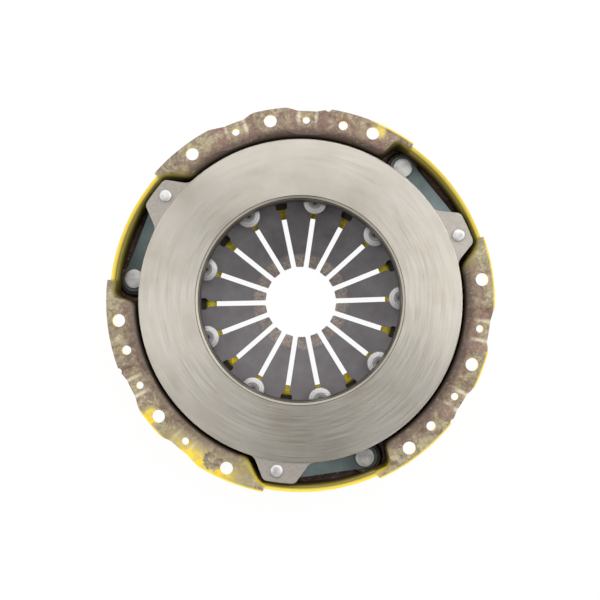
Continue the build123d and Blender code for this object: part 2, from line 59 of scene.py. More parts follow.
def add(tree, kind, *inputs, stops=(), out=None, **settings):
    """Add one node and return its output: the one named by out, or else the first in use.

    The inputs fill the sockets in use in their order, and a (name, value) pair fills the socket of that
    name; a value can be another node's output. So a MapRange reads: value, start and end of the fade,
    and what it gives at both, or 0 and 1. The stops are a ramp's (place, colour) pairs.
    """
    node = tree.nodes.new("ShaderNode" + kind)
    for name, value in settings.items():
        setattr(node, name, value)
    for place, (position, colour) in enumerate(stops):
        stop = node.color_ramp.elements[place] if place < 2 else node.color_ramp.elements.new(position)
        stop.position = position
        stop.color = linear(colour)
    in_use = [socket for socket in node.inputs if socket.enabled]
    for place, value in enumerate(inputs):
        if isinstance(value, tuple) and isinstance(value[0], str):
            socket, value = node.inputs[value[0]], value[1]
        else:
            socket = in_use[place]
        if isinstance(value, bpy.types.NodeSocket):
            tree.links.new(value, socket)
        else:
            socket.default_value = value
    return node.outputs[out] if out else next(socket for socket in node.outputs if socket.enabled)


def finish(name, **sockets):
    """Start a material with one Principled shader, and set the sockets that are the same all over."""
    material = bpy.data.materials.new(name)
    material.use_nodes = True
    shader = material.node_tree.nodes["Principled BSDF"]
    for socket, value in sockets.items():
        shader.inputs[socket.replace("_", " ")].default_value = value
    return material, material.node_tree, shader


def connect(tree, shader, **values):
    """Link outputs to the sockets of those names, such as a colour or a relief to the shader's."""
    for socket, value in values.items():
        tree.links.new(value, shader.inputs[socket.replace("_", " ")])


def dress(material, names):
    """Give CAD pieces a finish through their own material slots."""
    for name in names:
        for place in part[name].material_slots:
            place.material = material


def toward(angle_deg):
    """Unit vector in the plan, at an angle in degrees from the X axis."""
    return cos(radians(angle_deg)), sin(radians(angle_deg)), 0.0


# Where the coat changes. The angles of panels, flange and holes, in degrees, lie within one third of the
# cover, and the others within the whole. Places and sizes are in metres, as in all the materials.
PANEL_SLOPES = ((-43.5, 2.0), (-34.2, 1.8), (-20.5, 1.5), (-10.4, 2.4))
PANEL_FEET = (-41.5, -36.0, -19.0, -12.8)
HUNG_HIGHEST_DEG = 60
DARKEST_INNER_DEGS = (72.0, -32.0)
SPRAY_AT = (-0.0830, -0.1090, 0.0)
BALD_AT = (-0.0725, -0.1043, 0.0)
SPLASHES = (((-0.1122, -0.0687, 0.0), 0.0078), ((0.0685, 0.1112, 0.0), 0.0058))
FLANGE_DEGS = (-72.3, 12.5)
HOLES_DEGS = ((4.5, 5.5), (-64.5, -65.5))

paint, tree, shader = finish("sprayed_yellow_paint_over_mill_scale", Metallic=0.0, IOR=1.5)
where = add(tree, "TexCoord", out="Object")
normal = add(tree, "TexCoord", out="Normal")
x, y, z = (add(tree, "SeparateXYZ", where, out=axis) for axis in "XYZ")
up = add(tree, "SeparateXYZ", normal, out="Z")
flat = add(tree, "VectorMath", where, (1.0, 1.0, 0.0), operation="MULTIPLY")
radius = add(tree, "VectorMath", flat, operation="LENGTH")
heading = add(tree, "VectorMath", flat, operation="NORMALIZE")
outward = add(tree, "VectorMath", normal, heading, operation="DOT_PRODUCT")

# The three flanges are alike, so what repeats goes by the angle within one third, from -80 to 40 degrees.
turn = add(tree, "Math", y, x, operation="ARCTAN2")
third = add(tree, "Math", turn, radians(40), radians(-80), operation="WRAP")

# Cloudy scale: clouds about 9 mm across, streaks of 4 mm, and grains of 2 mm, the finest that show.
clouds = add(tree, "TexNoise", where, ("Scale", 1 / 0.009), ("Detail", 6.0), ("Roughness", 0.68),
             ("Distortion", 0.9))
streaks = add(tree, "TexNoise", where, ("Scale", 1 / 0.0042), ("Detail", 5.0), ("Roughness", 0.7),
              ("Distortion", 1.2))
grains = add(tree, "TexNoise", where, ("Scale", 1 / 0.0018), ("Detail", 3.0), ("Roughness", 0.75))
aside = add(tree, "VectorMath", where, (0.31, 0.17, 0.0), operation="ADD")
drift = add(tree, "TexNoise", aside, ("Scale", 1 / 0.022), ("Detail", 4.0))
brown = add(tree, "ValToRGB", streaks, stops=[
    (0.28, "493a30"), (0.42, "5f5042"), (0.52, "716253"), (0.62, "837660"), (0.78, "a89c7e")])
olive = add(tree, "ValToRGB", streaks, stops=[
    (0.28, "655b46"), (0.42, "7c7259"), (0.55, "91876a"), (0.74, "b5ac8c")])
tone = add(tree, "MapRange", clouds, 0.40, 0.60)
blend = add(tree, "Mix", 0.5, tone, drift, data_type="FLOAT")
blend = add(tree, "MapRange", blend, 0.30, 0.66)
scale = add(tree, "Mix", blend, brown, olive, data_type="RGBA")

# Red-brown scale shows most on the inner half of the flange and on the slopes of the lowered panels,
# where its darker red is partly painted shade, and more of it is left on the side that hung highest in
# the spray booth.
red = add(tree, "MapRange", radius, 0.1290, 0.1205, 0.05, 0.85)
for middle, half in PANEL_SLOPES:
    slope = add(tree, "Math", third, radians(middle), radians(half), operation="COMPARE")
    slope = add(tree, "Math", slope, 0.85, operation="MULTIPLY")
    red = add(tree, "Math", red, slope, operation="MAXIMUM")
height = add(tree, "VectorMath", heading, toward(HUNG_HIGHEST_DEG), operation="DOT_PRODUCT")
highest = add(tree, "MapRange", height, 0.80, 0.98, 0.0, 0.75)
red = add(tree, "Math", red, highest, operation="MAXIMUM")
patchy = add(tree, "MapRange", clouds, 0.66, 0.40, 0.25, 1.0)
red = add(tree, "Math", red, patchy, operation="MULTIPLY")
height = add(tree, "MapRange", height, -0.95, -0.05, 0.35, 1.0)
red = add(tree, "Math", red, height, operation="MULTIPLY")
rust = add(tree, "ValToRGB", streaks, stops=[(0.3, "503931"), (0.5, "66493f"), (0.72, "806253")])
scale = add(tree, "Mix", red, scale, rust, data_type="RGBA")

# Darker scale and painted shade darken the inner half towards the bend, most of all in two places, and
# the rim by the bend is painted nearly black as shade, less so on the lowest side, where the bend faces
# the lamps.
dark_scale_and_shade = add(tree, "MapRange", radius, 0.1290, 0.1170, 0.0, 0.42, interpolation_type="SMOOTHSTEP")
for angle in DARKEST_INNER_DEGS:
    beside = add(tree, "VectorMath", heading, toward(angle), operation="DOT_PRODUCT")
    beside = add(tree, "MapRange", beside, 0.86, 0.97, 1.0, 1.5)
    dark_scale_and_shade = add(tree, "Math", dark_scale_and_shade, beside, operation="MULTIPLY")
scale = add(tree, "Mix", dark_scale_and_shade, scale, linear("4e342b"), data_type="RGBA")
black = add(tree, "MapRange", radius, 0.1230, 0.1176, 0.0, 0.70, interpolation_type="SMOOTHSTEP")
black = add(tree, "Math", black, height, operation="MULTIPLY")
scale = add(tree, "Mix", black, scale, linear("2b2119"), data_type="RGBA")

# Pale lines reach 2 mm to both sides of each foot of a slope, partly scuffs and partly painted
# highlight, and scale has flaked off in bright specks.
scuff_and_highlight = 0.0
for foot in PANEL_FEET:
    off = add(tree, "Math", third, radians(foot), operation="SUBTRACT")
    off = add(tree, "Math", off, operation="ABSOLUTE")
    line = add(tree, "MapRange", off, 0.0165, 0.001, interpolation_type="SMOOTHSTEP")
    scuff_and_highlight = add(tree, "Math", scuff_and_highlight, line, operation="MAXIMUM")
line_patches = add(tree, "MapRange", clouds, 0.36, 0.60, 0.15, 0.68)
scuff_and_highlight = add(tree, "Math", scuff_and_highlight, line_patches, operation="MULTIPLY")
kept = add(tree, "MapRange", radius, 0.1212, 0.1275)
scuff_and_highlight = add(tree, "Math", scuff_and_highlight, kept, operation="MULTIPLY")
face = add(tree, "Mix", scuff_and_highlight, scale, linear("cfc6ab"), data_type="RGBA")
speck = add(tree, "MapRange", grains, 0.60, 0.70, 0.0, 0.35)
face = add(tree, "Mix", speck, face, linear("c5bb9f"), data_type="RGBA")

# Overspray is heavy on the side that hung lowest in the spray booth: it fades inwards and to both
# sides, and splashes lie beside two bolt holes, but it stayed off one patch beside a third.
yellow = add(tree, "Mix", drift, linear("dfbe00"), linear("f0d730"), data_type="RGBA")
ragged = add(tree, "MapRange", streaks, 0.0, 1.0, -0.012, 0.012)
frayed = add(tree, "MapRange", streaks, 0.0, 1.0, -0.004, 0.004)
spray = add(tree, "VectorMath", where, SPRAY_AT, operation="DISTANCE")
spray = add(tree, "Math", spray, ragged, operation="ADD")
spray = add(tree, "MapRange", spray, 0.042, 0.016)
outer = add(tree, "MapRange", radius, 0.1195, 0.1290, 0.10, 1.0)
spray = add(tree, "Math", spray, outer, operation="MULTIPLY")
for place, size in SPLASHES:
    splash = add(tree, "VectorMath", where, place, operation="DISTANCE")
    splash = add(tree, "Math", splash, frayed, operation="ADD")
    splash = add(tree, "MapRange", splash, size, size * 0.55)
    spray = add(tree, "Math", spray, splash, operation="MAXIMUM")
bald = add(tree, "VectorMath", where, BALD_AT, operation="DISTANCE")
bald = add(tree, "Math", bald, frayed, operation="ADD")
bald = add(tree, "MapRange", bald, 0.0060, 0.0074)
spray = add(tree, "Math", spray, bald, operation="MULTIPLY")
thin = add(tree, "MapRange", clouds, 0.35, 0.62, 1.0, 0.6)
spray = add(tree, "Math", spray, thin, operation="MULTIPLY")
dusted = add(tree, "ValToRGB", spray, stops=[(0.2, "a69c70"), (0.5, "b5a658"), (0.85, "dcbc1c")])
face = add(tree, "Mix", spray, face, dusted, data_type="RGBA")

# A thin yellow line lies along the outer edge, at the bottom and on the right.
bottom = add(tree, "MapRange", y, -0.055, -0.070)
right_side = add(tree, "MapRange", x, 0.062, 0.070)
edged = add(tree, "Math", bottom, right_side, operation="MAXIMUM")
fringe = add(tree, "MapRange", radius, 0.1346, 0.1358, 0.0, 0.8)
fringe = add(tree, "Math", fringe, edged, operation="MULTIPLY")
face = add(tree, "Mix", fringe, face, yellow, data_type="RGBA")

# The bend down to the wall is painted shade, darkening through brown to nearly black. Near the ends of
# each flange it is olive with paint, and painted yellow and lighter at the bottom of the cover, where
# light falls on it. A mist of paint reaches on to the flat there, darkened by painted shade where the
# flange dips and painted lighter at the bottom.
inward = add(tree, "MapRange", outward, -0.04, -0.22)
fall = add(tree, "MapRange", up, 0.97, 0.10)
bend = add(tree, "Math", inward, fall, operation="MULTIPLY")
one_end = add(tree, "MapRange", third, radians(2), radians(10))
other_end = add(tree, "MapRange", third, radians(-65), radians(-71))
ends = add(tree, "Math", one_end, other_end, operation="MAXIMUM")
lowest = add(tree, "MapRange", y, -0.06, -0.10)
mist_and_dip_shade = add(tree, "MapRange", radius, 0.1300, 0.1205, 0.0, 0.80, interpolation_type="SMOOTHSTEP")
mist_and_dip_shade = add(tree, "Math", mist_and_dip_shade, ends, operation="MULTIPLY")
mist_and_dip_colour = add(tree, "Mix", lowest, linear("746a2c"), linear("aa9a30"), data_type="RGBA")
face = add(tree, "Mix", mist_and_dip_shade, face, mist_and_dip_colour, data_type="RGBA")
tinted = add(tree, "Mix", lowest, linear("7d732c"), linear("b8a31e"), data_type="RGBA")
shade = add(tree, "Mix", ends, linear("382a1f"), tinted, data_type="RGBA")
upper = add(tree, "MapRange", bend, 0.02, 0.50)
face = add(tree, "Mix", upper, face, shade, data_type="RGBA")
shadow = add(tree, "Mix", ends, linear("211910"), linear("5f5412"), data_type="RGBA")
lower = add(tree, "MapRange", bend, 0.50, 0.95)
face = add(tree, "Mix", lower, face, shadow, data_type="RGBA")

# The walls of the holes are yellow, since the spray came up through them. They are told from the bend
# by their place: outside the wall, and away from the ends of the flange, where the bend comes out too.
hole = add(tree, "MapRange", up, 0.70, 0.40)
outside = add(tree, "MapRange", radius, 0.1215, 0.1220)
hole = add(tree, "Math", hole, outside, operation="MULTIPLY")
for last, beyond in HOLES_DEGS:
    between = add(tree, "MapRange", third, radians(beyond), radians(last))
    hole = add(tree, "Math", hole, between, operation="MULTIPLY")
face = add(tree, "Mix", hole, face, yellow, data_type="RGBA")

# In the three windows the wall is olive near its rim and goes brown towards the floor: yellow paint that
# gives way to brown scale, under painted shade that deepens into the window. The top of the rim is
# yellow at its outer edge only; the olive strip inside it is painted shade, where the rim slopes down.
depth = add(tree, "MapRange", z, -0.026, 0.0)
window_wall = add(tree, "ValToRGB", depth, stops=[
    (0.0, "423220"), (0.35, "5d5122"), (0.62, "8d8135"), (0.84, "9a8e42"), (0.895, "6b6229"),
    (0.95, "a1954a"), (1.0, "bcaa44")])
across = add(tree, "MapRange", radius, 0.1290, 0.1322)
rim_top = add(tree, "ValToRGB", across, stops=[
    (0.0, "8d8350"), (0.25, "b5a96c"), (0.42, "c9ad38"), (1.0, "d3b52c")])
flat_top = add(tree, "MapRange", up, 0.5, 0.9)
window_wall = add(tree, "Mix", flat_top, window_wall, rim_top, data_type="RGBA")
after_first = add(tree, "MapRange", third, radians(FLANGE_DEGS[0] - 0.8), radians(FLANGE_DEGS[0]))
before_last = add(tree, "MapRange", third, radians(FLANGE_DEGS[1] + 0.8), radians(FLANGE_DEGS[1]))
flange = add(tree, "Math", before_last, after_first, operation="MULTIPLY")
lined = add(tree, "Mix", flange, window_wall, face, data_type="RGBA")

# Everything that looks in or up, outside the spring, has that lining; the rest has its full coat.
looks_up = add(tree, "MapRange", up, 0.05, 0.30)
lining = add(tree, "Math", inward, looks_up, operation="MAXIMUM")
wide = add(tree, "MapRange", radius, 0.100, 0.104)
lining = add(tree, "Math", lining, wide, operation="MULTIPLY")
coat = add(tree, "Mix", lining, yellow, lined, data_type="RGBA")

# Through the spring's slots the inside of the back is yellow, painted brighter near the lip as painted
# light against the fingers' shade. Further out, under the spring, it is painted dark as shade, and under
# the straps it is rust brown with pale flecks.
low = add(tree, "MapRange", z, -0.0190, -0.0215)
low = add(tree, "Math", low, looks_up, operation="MULTIPLY")
central = add(tree, "MapRange", radius, 0.0790, 0.0765)
painted_brighter = add(tree, "Math", low, central, operation="MULTIPLY")
coat = add(tree, "Mix", painted_brighter, coat, linear("ffe600"), data_type="RGBA")
behind = add(tree, "MapRange", radius, 0.0660, 0.0690)
shade_and_scale = add(tree, "Math", low, behind, operation="MULTIPLY")
shade_and_scale_colour = add(tree, "Mix", tone, linear("2c1c15"), linear("573a2f"), data_type="RGBA")
pale_fleck = add(tree, "MapRange", streaks, 0.60, 0.68, 0.0, 0.55)
shade_and_scale_colour = add(tree, "Mix", pale_fleck, shade_and_scale_colour, linear("c4b39c"), data_type="RGBA")
shade_and_scale_colour = add(tree, "Mix", wide, linear("281f13"), shade_and_scale_colour, data_type="RGBA")
colour = add(tree, "Mix", shade_and_scale, coat, shade_and_scale_colour, data_type="RGBA")
rough = add(tree, "MapRange", streaks, 0.3, 0.7, 0.38, 0.66)
relief = add(tree, "Bump", ("Strength", 0.4), ("Distance", 0.0003), ("Height", streaks))
connect(tree, shader, Base_Color=colour, Roughness=rough, Normal=relief)
dress(paint, ["cover"])


# Pressure plate: a grey iron casting. Its face was turned and ground flat, which leaves fine rings
# that stretch the light along the radius; its back and bore keep the darker cast or turned skin.
iron, tree, shader = finish("ground_grey_cast_iron", Anisotropic=0.8, Anisotropic_Rotation=0.25)
where = add(tree, "TexCoord", out="Object")
z = add(tree, "SeparateXYZ", where, out="Z")
flat = add(tree, "VectorMath", where, (1.0, 1.0, 0.0), operation="MULTIPLY")
radius = add(tree, "VectorMath", flat, operation="LENGTH")
heading = add(tree, "VectorMath", flat, operation="NORMALIZE")

# Grinding rings: lines about 0.9 mm apart along the radius, the finest that show. The pattern's Z axis
# runs along the radius, and X and Y change slowly round the plate, so that a ring fades in and out.
slow = add(tree, "VectorMath", heading, ("Scale", 3.0), operation="SCALE")
rings_at = add(tree, "Math", radius, 1 / 0.0009, operation="MULTIPLY")
along = add(tree, "CombineXYZ", ("Z", rings_at))
grind = add(tree, "VectorMath", slow, along, operation="ADD")
rings = add(tree, "TexNoise", grind, ("Scale", 1.0), ("Detail", 2.0), ("Roughness", 0.6))
mottle = add(tree, "TexNoise", where, ("Scale", 1 / 0.040), ("Detail", 4.0), ("Roughness", 0.55))
cast = add(tree, "TexNoise", where, ("Scale", 1 / 0.0016), ("Detail", 3.0))
ground = add(tree, "ValToRGB", mottle, stops=[(0.3, "c1b9ac"), (0.5, "cbc5ba"), (0.7, "d1cbc2")])
dark = add(tree, "MapRange", rings, 0.3, 0.7, 0.045, 0.0)
ground = add(tree, "Mix", dark, ground, linear("6d665e"), data_type="RGBA")

# The lugs are milled, not ground: duller, and of an even grey. The back and the bore keep a darker skin.
milled = add(tree, "ValToRGB", cast, stops=[(0.3, "98928b"), (0.5, "9f9991"), (0.7, "a59f97")])
on_lug = add(tree, "MapRange", radius, 0.11345, 0.11375)
tone = add(tree, "Mix", on_lug, ground, milled, data_type="RGBA")
below_face = add(tree, "MapRange", z, -0.0028, -0.0045)
tone = add(tree, "Mix", below_face, tone, linear("6c655d"), data_type="RGBA")

# The chamfer of the bore is freshly cut and pale, between two thin dark edges that are painted shade.
CHAMFER_MIDDLE_R = 0.07265
off = add(tree, "Math", radius, CHAMFER_MIDDLE_R, operation="SUBTRACT")
off = add(tree, "Math", off, operation="ABSOLUTE")
band = add(tree, "MapRange", off, 0.00080, 0.00060)
cut_band_and_edge_shade = add(tree, "Mix", band, linear("39332d"), linear("a69f92"), data_type="RGBA")
within = add(tree, "MapRange", radius, 0.07385, 0.07365)
high = add(tree, "MapRange", z, -0.0030, -0.0024)
chamfer = add(tree, "Math", within, high, operation="MULTIPLY")
tone = add(tree, "Mix", chamfer, tone, cut_band_and_edge_shade, data_type="RGBA")
metal = add(tree, "Math", chamfer, -0.45, 1.0, operation="MULTIPLY_ADD")
metal = add(tree, "Math", on_lug, -0.25, metal, operation="MULTIPLY_ADD")
rough = add(tree, "MapRange", rings, 0.3, 0.7, 0.28, 0.36)
rough = add(tree, "Math", on_lug, 0.22, rough, operation="MULTIPLY_ADD")
relief = add(tree, "Bump", ("Strength", 0.045), ("Distance", 0.0001), ("Height", rings))
tangent = add(tree, "Tangent", direction_type="RADIAL", axis="Z")
connect(tree, shader, Base_Color=tone, Metallic=metal, Roughness=rough, Normal=relief, Tangent=tangent)
dress(iron, ["pressure_plate"])


# Diaphragm spring: fingers cut from one dished disc of spring steel, hardened, shot-peened and oiled,
# which leaves it dark grey. The tips are scoured pale and brown where a bearing has been tried on them.
spring, tree, shader = finish("shot_peened_spring_steel", Metallic=0.85)
where = add(tree, "TexCoord", out="Object")
flat = add(tree, "VectorMath", where, (1.0, 1.0, 0.0), operation="MULTIPLY")
radius = add(tree, "VectorMath", flat, operation="LENGTH")
smoke = add(tree, "TexNoise", where, ("Scale", 1 / 0.016), ("Detail", 4.0), ("Roughness", 0.6))
peen = add(tree, "TexNoise", where, ("Scale", 1 / 0.0016), ("Detail", 2.0))
tone = add(tree, "ValToRGB", smoke, stops=[(0.3, "524e50"), (0.55, "5d5a5c"), (0.75, "696667")])
scoured = add(tree, "ValToRGB", peen, stops=[(0.35, "6a5d55"), (0.5, "82776e"), (0.65, "968c82")])
at_tip = add(tree, "MapRange", radius, 0.0358, 0.0332)
blotch = add(tree, "MapRange", smoke, 0.38, 0.62, 0.35, 0.85)
scour = add(tree, "Math", at_tip, blotch, operation="MULTIPLY")
tone = add(tree, "Mix", scour, tone, scoured, data_type="RGBA")
rough = add(tree, "MapRange", smoke, 0.3, 0.7, 0.44, 0.58)
relief = add(tree, "Bump", ("Strength", 0.25), ("Distance", 0.0001), ("Height", peen))
connect(tree, shader, Base_Color=tone, Roughness=rough, Normal=relief)
dress(spring, [name for name in part if name.startswith("spring_finger")])


# Fulcrum rings: 4 mm drawn steel wire, bent and butted. Drawing leaves it grey with lengthwise lines.
wire, tree, shader = finish("drawn_steel_wire", Metallic=1.0)
where = add(tree, "TexCoord", out="Object")
flat = add(tree, "VectorMath", where, (1.0, 1.0, 0.0), operation="MULTIPLY")
radius = add(tree, "VectorMath", flat, operation="LENGTH")
line_at = add(tree, "Math", radius, 1 / 0.0004, operation="MULTIPLY")
drawn = add(tree, "TexNoise", ("W", line_at), ("Scale", 1.0), ("Detail", 1.0), noise_dimensions="1D")
tone = add(tree, "ValToRGB", drawn, stops=[(0.3, "6a6762"), (0.7, "8d8a84")])
rough = add(tree, "MapRange", drawn, 0.0, 1.0, 0.32, 0.5)
connect(tree, shader, Base_Color=tone, Roughness=rough)
dress(wire, ["upper_fulcrum_ring", "lower_fulcrum_ring"])


# Fulcrum rivets: shouldered steel rivets, upset cold by a tool with rings in its face. Each head has
# four shallow terraces, a sunk middle and a dimple that has kept its brown scale.
MM = 0.001
FULCRUM_COUNT = 9
FULCRUM_R = 71.8
FULCRUM_FIRST_DEG = -4.9
HEAD_TOP = -16.0
HEAD_SEAT = -18.5
TAIL_SEAT = -33.55
fulcrum_outline = [
    (0.0, HEAD_TOP - 1.5), (0.8, HEAD_TOP - 1.3), (1.5, HEAD_TOP - 0.7), (1.9, HEAD_TOP - 0.5),
    (3.2, HEAD_TOP - 0.45), (3.45, HEAD_TOP - 0.1), (4.1, HEAD_TOP), (5.0, HEAD_TOP - 0.02),
    (5.2, HEAD_TOP - 0.2), (6.3, HEAD_TOP - 0.25), (6.5, HEAD_TOP - 0.4), (7.6, HEAD_TOP - 0.5),
    (8.1, HEAD_TOP - 0.7), (8.45, HEAD_TOP - 1.1), (8.58, HEAD_TOP - 1.6), (8.58, HEAD_SEAT + 0.2),
    (8.4, HEAD_SEAT), (3.25, HEAD_SEAT), (3.25, TAIL_SEAT), (4.7, TAIL_SEAT), (4.8, TAIL_SEAT - 0.15),
    (4.8, TAIL_SEAT - 1.45), (4.1, TAIL_SEAT - 2.15), (0.0, TAIL_SEAT - 2.2)]


def polar(radius_mm, angle_deg):
    """Point in the plan, in metres, from a radius in millimetres and an angle in degrees."""
    return np.array(toward(angle_deg)[:2]) * radius_mm * MM


def mesh_piece(name, points, faces, material, body, node):
    """Close a mesh of points and faces, turn its faces outward and let it stand for a CAD node."""
    mesh = bpy.data.meshes.new(name)
    mesh.from_pydata(points.tolist(), [], faces.tolist())
    shape = bmesh.new()
    shape.from_mesh(mesh)
    bmesh.ops.remove_doubles(shape, verts=shape.verts, dist=1e-7)
    bmesh.ops.recalc_face_normals(shape, faces=shape.faces)
    shape.to_mesh(mesh)
    shape.free()
    mesh.shade_smooth()
    mesh.set_sharp_from_angle(angle=radians(38))
    mesh.materials.append(material)
    piece = bpy.data.objects.new(name, mesh)
    bpy.context.collection.objects.link(piece)
    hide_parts(node)
    if body:
        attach(piece, body)
    return piece


def grid_faces(rows, columns):
    """Quads of a grid whose last column joins its first: each links a point with its three neighbours."""
    row, column = np.meshgrid(np.arange(rows - 1), np.arange(columns), indexing="ij")
    after = (column + 1) % columns
    return np.stack([row * columns + column, row * columns + after,
                     (row + 1) * columns + after, (row + 1) * columns + column], axis=-1).reshape(-1, 4)


def turned(outline, centre, steps=72):
    """Surface of revolution: a point at height z(s) and radius r(s) of the outline, turned by the angle t.

    x = centre x + r cos t, y = centre y + r sin t, z = z. The outline starts and ends on the axis.
    """
    radii, heights = (np.array(outline) * MM).T
    angles = np.arange(steps) * 2 * pi / steps
    x = centre[0] + radii[:, None] * np.cos(angles)
    y = centre[1] + radii[:, None] * np.sin(angles)
    z = heights[:, None] + 0 * angles
    return np.stack([x, y, z], axis=-1).reshape(-1, 3), grid_faces(len(radii), steps)


upset, tree, shader = finish("cold_upset_rivet_steel", Metallic=0.7)
where = add(tree, "TexCoord", out="Object")
dents = add(tree, "TexNoise", where, ("Scale", 1 / 0.0016), ("Detail", 3.0))
reach = add(tree, "Attribute", attribute_name="reach", out="Fac")

# Rings left by the tool, about 0.8 mm apart, counted from the attribute reach in millimetres.
rings = add(tree, "TexNoise", ("W", reach), ("Scale", 1.25), ("Detail", 1.0), noise_dimensions="1D")
tone = add(tree, "ValToRGB", rings, stops=[
    (0.36, "7a7776"), (0.44, "9b9998"), (0.52, "afadac"), (0.62, "b6b4b3")])
dimple = add(tree, "MapRange", reach, 2.0, 1.2)
tone = add(tree, "Mix", dimple, tone, linear("43332e"), data_type="RGBA")
rough = add(tree, "MapRange", dents, 0.3, 0.7, 0.42, 0.6)
relief = add(tree, "Bump", ("Strength", 0.4), ("Distance", 0.0002), ("Height", rings))
connect(tree, shader, Base_Color=tone, Roughness=rough, Normal=relief)

for number in range(FULCRUM_COUNT):
    centre = polar(FULCRUM_R, FULCRUM_FIRST_DEG + 360 / FULCRUM_COUNT * number)
    points, faces = turned(fulcrum_outline, centre)
    rivet = mesh_piece(f"turned_fulcrum_rivet_{number + 1}", points, faces, upset, "cover",
                       f"fulcrum_rivet_{number + 1}")
    corners = np.empty(len(rivet.data.vertices) * 3)
    rivet.data.vertices.foreach_get("co", corners)
    corners = corners.reshape(-1, 3)
    reach_mm = np.hypot(corners[:, 0] - centre[0], corners[:, 1] - centre[1]) / MM
    kept_reach = rivet.data.attributes.new("reach", "FLOAT", "POINT")
    kept_reach.data.foreach_set("value", reach_mm.astype(np.float32))


# Drive straps: three packs of three blued spring-steel leaves, 0.8 mm thick. Each leaf is blanked
# with round ends and two holes; the pack bends as far as the plate stands out of the cover.
PACK_COUNT = 3
LEAF_COUNT = 3
LEAF_T = 0.8
LEAF_GAP = 0.05
LEAF_HALF = 8.0
LEAF_HOLE = 3.8
CLAMP = 7.0
SEAT_R = 120.6
SEAT_DEG = 46.0
SEAT_Z = -21.95
LUG_R = 120.0
LUG_DEG = 15.8
LUG_Z = -14.05
ROWS = 15
seat_at = polar(SEAT_R, SEAT_DEG)
lug_at = polar(LUG_R, LUG_DEG)
SPAN = float(np.hypot(*(lug_at - seat_at))) / MM


def strap_leaf(low_z, high_z):
    """Both faces and the edge of one leaf, as two halves that meet in the middle of the span.

    Round each hole a point goes out at the angle t from the hole's edge, by the share u of the way to
    the leaf's outline: a side at half the width, a round end of that radius, or the middle of the span.
    Its height follows the smooth step 3s^2 - 2s^3 of the share s of the free length.
    """
    corner = atan2(LEAF_HALF, SPAN / 2)
    angles = np.concatenate([np.linspace(-corner, corner, 13)[:-1],
                             np.linspace(corner, 2 * pi - corner, 60)[:-1]])
    run, rise = np.cos(angles), np.sin(angles)
    side = LEAF_HALF / np.maximum(np.abs(rise), 1e-9)
    end = -run + np.sqrt(run ** 2 - 1 + LEAF_HALF ** 2)
    middle = SPAN / 2 / np.maximum(run, 1e-9)
    reach = np.minimum(np.where(side * run > -1, side, end), middle)
    on_edge = reach < middle - 1e-6
    share = np.linspace(0, 1, ROWS)[:, None]
    top = LEAF_HOLE + share * (reach - LEAF_HOLE)
    out = np.concatenate([top, top[::-1]])
    lift = np.concatenate([np.full(ROWS, LEAF_T), np.zeros(ROWS)])[:, None] + 0 * reach
    x, y = out * run, out * rise

    # The last row joins the first. Where the outline is the middle of the span, the halves meet there
    # without an edge between the two faces.
    quads = grid_faces(2 * ROWS + 1, len(angles))
    column = quads[:, 0] % len(angles)
    edge_row = quads[:, 0] // len(angles) == ROWS - 1
    outside = on_edge[column] | on_edge[(column + 1) % len(angles)]
    quads = quads[~edge_row | outside] % (2 * ROWS * len(angles))
    halves = []
    for flip in (False, True):
        along = SPAN - x if flip else x
        s = np.clip((along - CLAMP) / (SPAN - 2 * CLAMP), 0, 1)
        z = low_z + (high_z - low_z) * s * s * (3 - 2 * s) + lift
        halves.append(np.stack([along, y, z], axis=-1).reshape(-1, 3))
    return np.concatenate(halves), np.concatenate([quads, quads + len(halves[0])])


blued, tree, shader = finish("blued_spring_steel_strip", Metallic=0.8)
where = add(tree, "TexCoord", out="Object")
cast = add(tree, "TexNoise", where, ("Scale", 1 / 0.02), ("Detail", 3.0))
grit = add(tree, "TexNoise", where, ("Scale", 1 / 0.0012), ("Detail", 2.0))
tone = add(tree, "ValToRGB", cast, stops=[(0.3, "4a5454"), (0.5, "566161"), (0.7, "606c6d")])
rough = add(tree, "MapRange", grit, 0.0, 1.0, 0.34, 0.5)
relief = add(tree, "Bump", ("Strength", 0.15), ("Distance", 0.0001), ("Height", grit))
connect(tree, shader, Base_Color=tone, Roughness=rough, Normal=relief)


def plan_turn(angle):
    """Matrix that turns points of the plan by an angle in radians."""
    return np.array([[cos(angle), -sin(angle)], [sin(angle), cos(angle)]])


strap_angle = atan2(*(lug_at - seat_at)[::-1])
for pack in range(PACK_COUNT):
    around = plan_turn(2 * pi / PACK_COUNT * pack)
    direction = around @ (lug_at - seat_at) / (SPAN * MM)
    last = around @ seat_at + direction * (SPAN - CLAMP) * MM
    for layer in range(LEAF_COUNT):
        lift = layer * (LEAF_T + LEAF_GAP)
        points, faces = strap_leaf(SEAT_Z + lift, LUG_Z + lift)
        points = points * MM
        points[:, :2] = (points[:, :2] @ plan_turn(strap_angle).T + seat_at) @ around.T
        leaf = mesh_piece(f"bent_strap_{pack + 1}_leaf_{layer + 1}", points, faces, blued, None,
                          f"strap_{pack + 1}_leaf_{layer + 1}")
        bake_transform(leaf)


# Strap rivets: large flat-topped heads hold the straps on the cover's seats, and small domed ones
# hold them under the lugs. Both are bright zinc-plated steel, struck by hand tools at their heads.
seat_outline = [
    (0.0, -17.3), (3.5, -17.3), (5.9, -17.34), (6.6, -17.5), (6.9, -17.9), (7.0, -18.5), (7.0, -19.4),
    (3.5, -19.4), (3.5, -25.05), (5.2, -25.05), (5.5, -25.35), (5.5, -26.5), (4.8, -27.25), (0.0, -27.25)]
lug_outline = [
    (0.0, 1.15), (1.6, 1.13), (2.8, 1.05), (3.6, 0.88), (4.15, 0.5), (4.42, -0.1), (4.5, -0.74),
    (2.8, -0.74), (2.8, -14.1), (4.5, -14.1), (4.8, -14.4), (4.8, -15.7), (4.0, -16.5), (0.0, -16.5)]

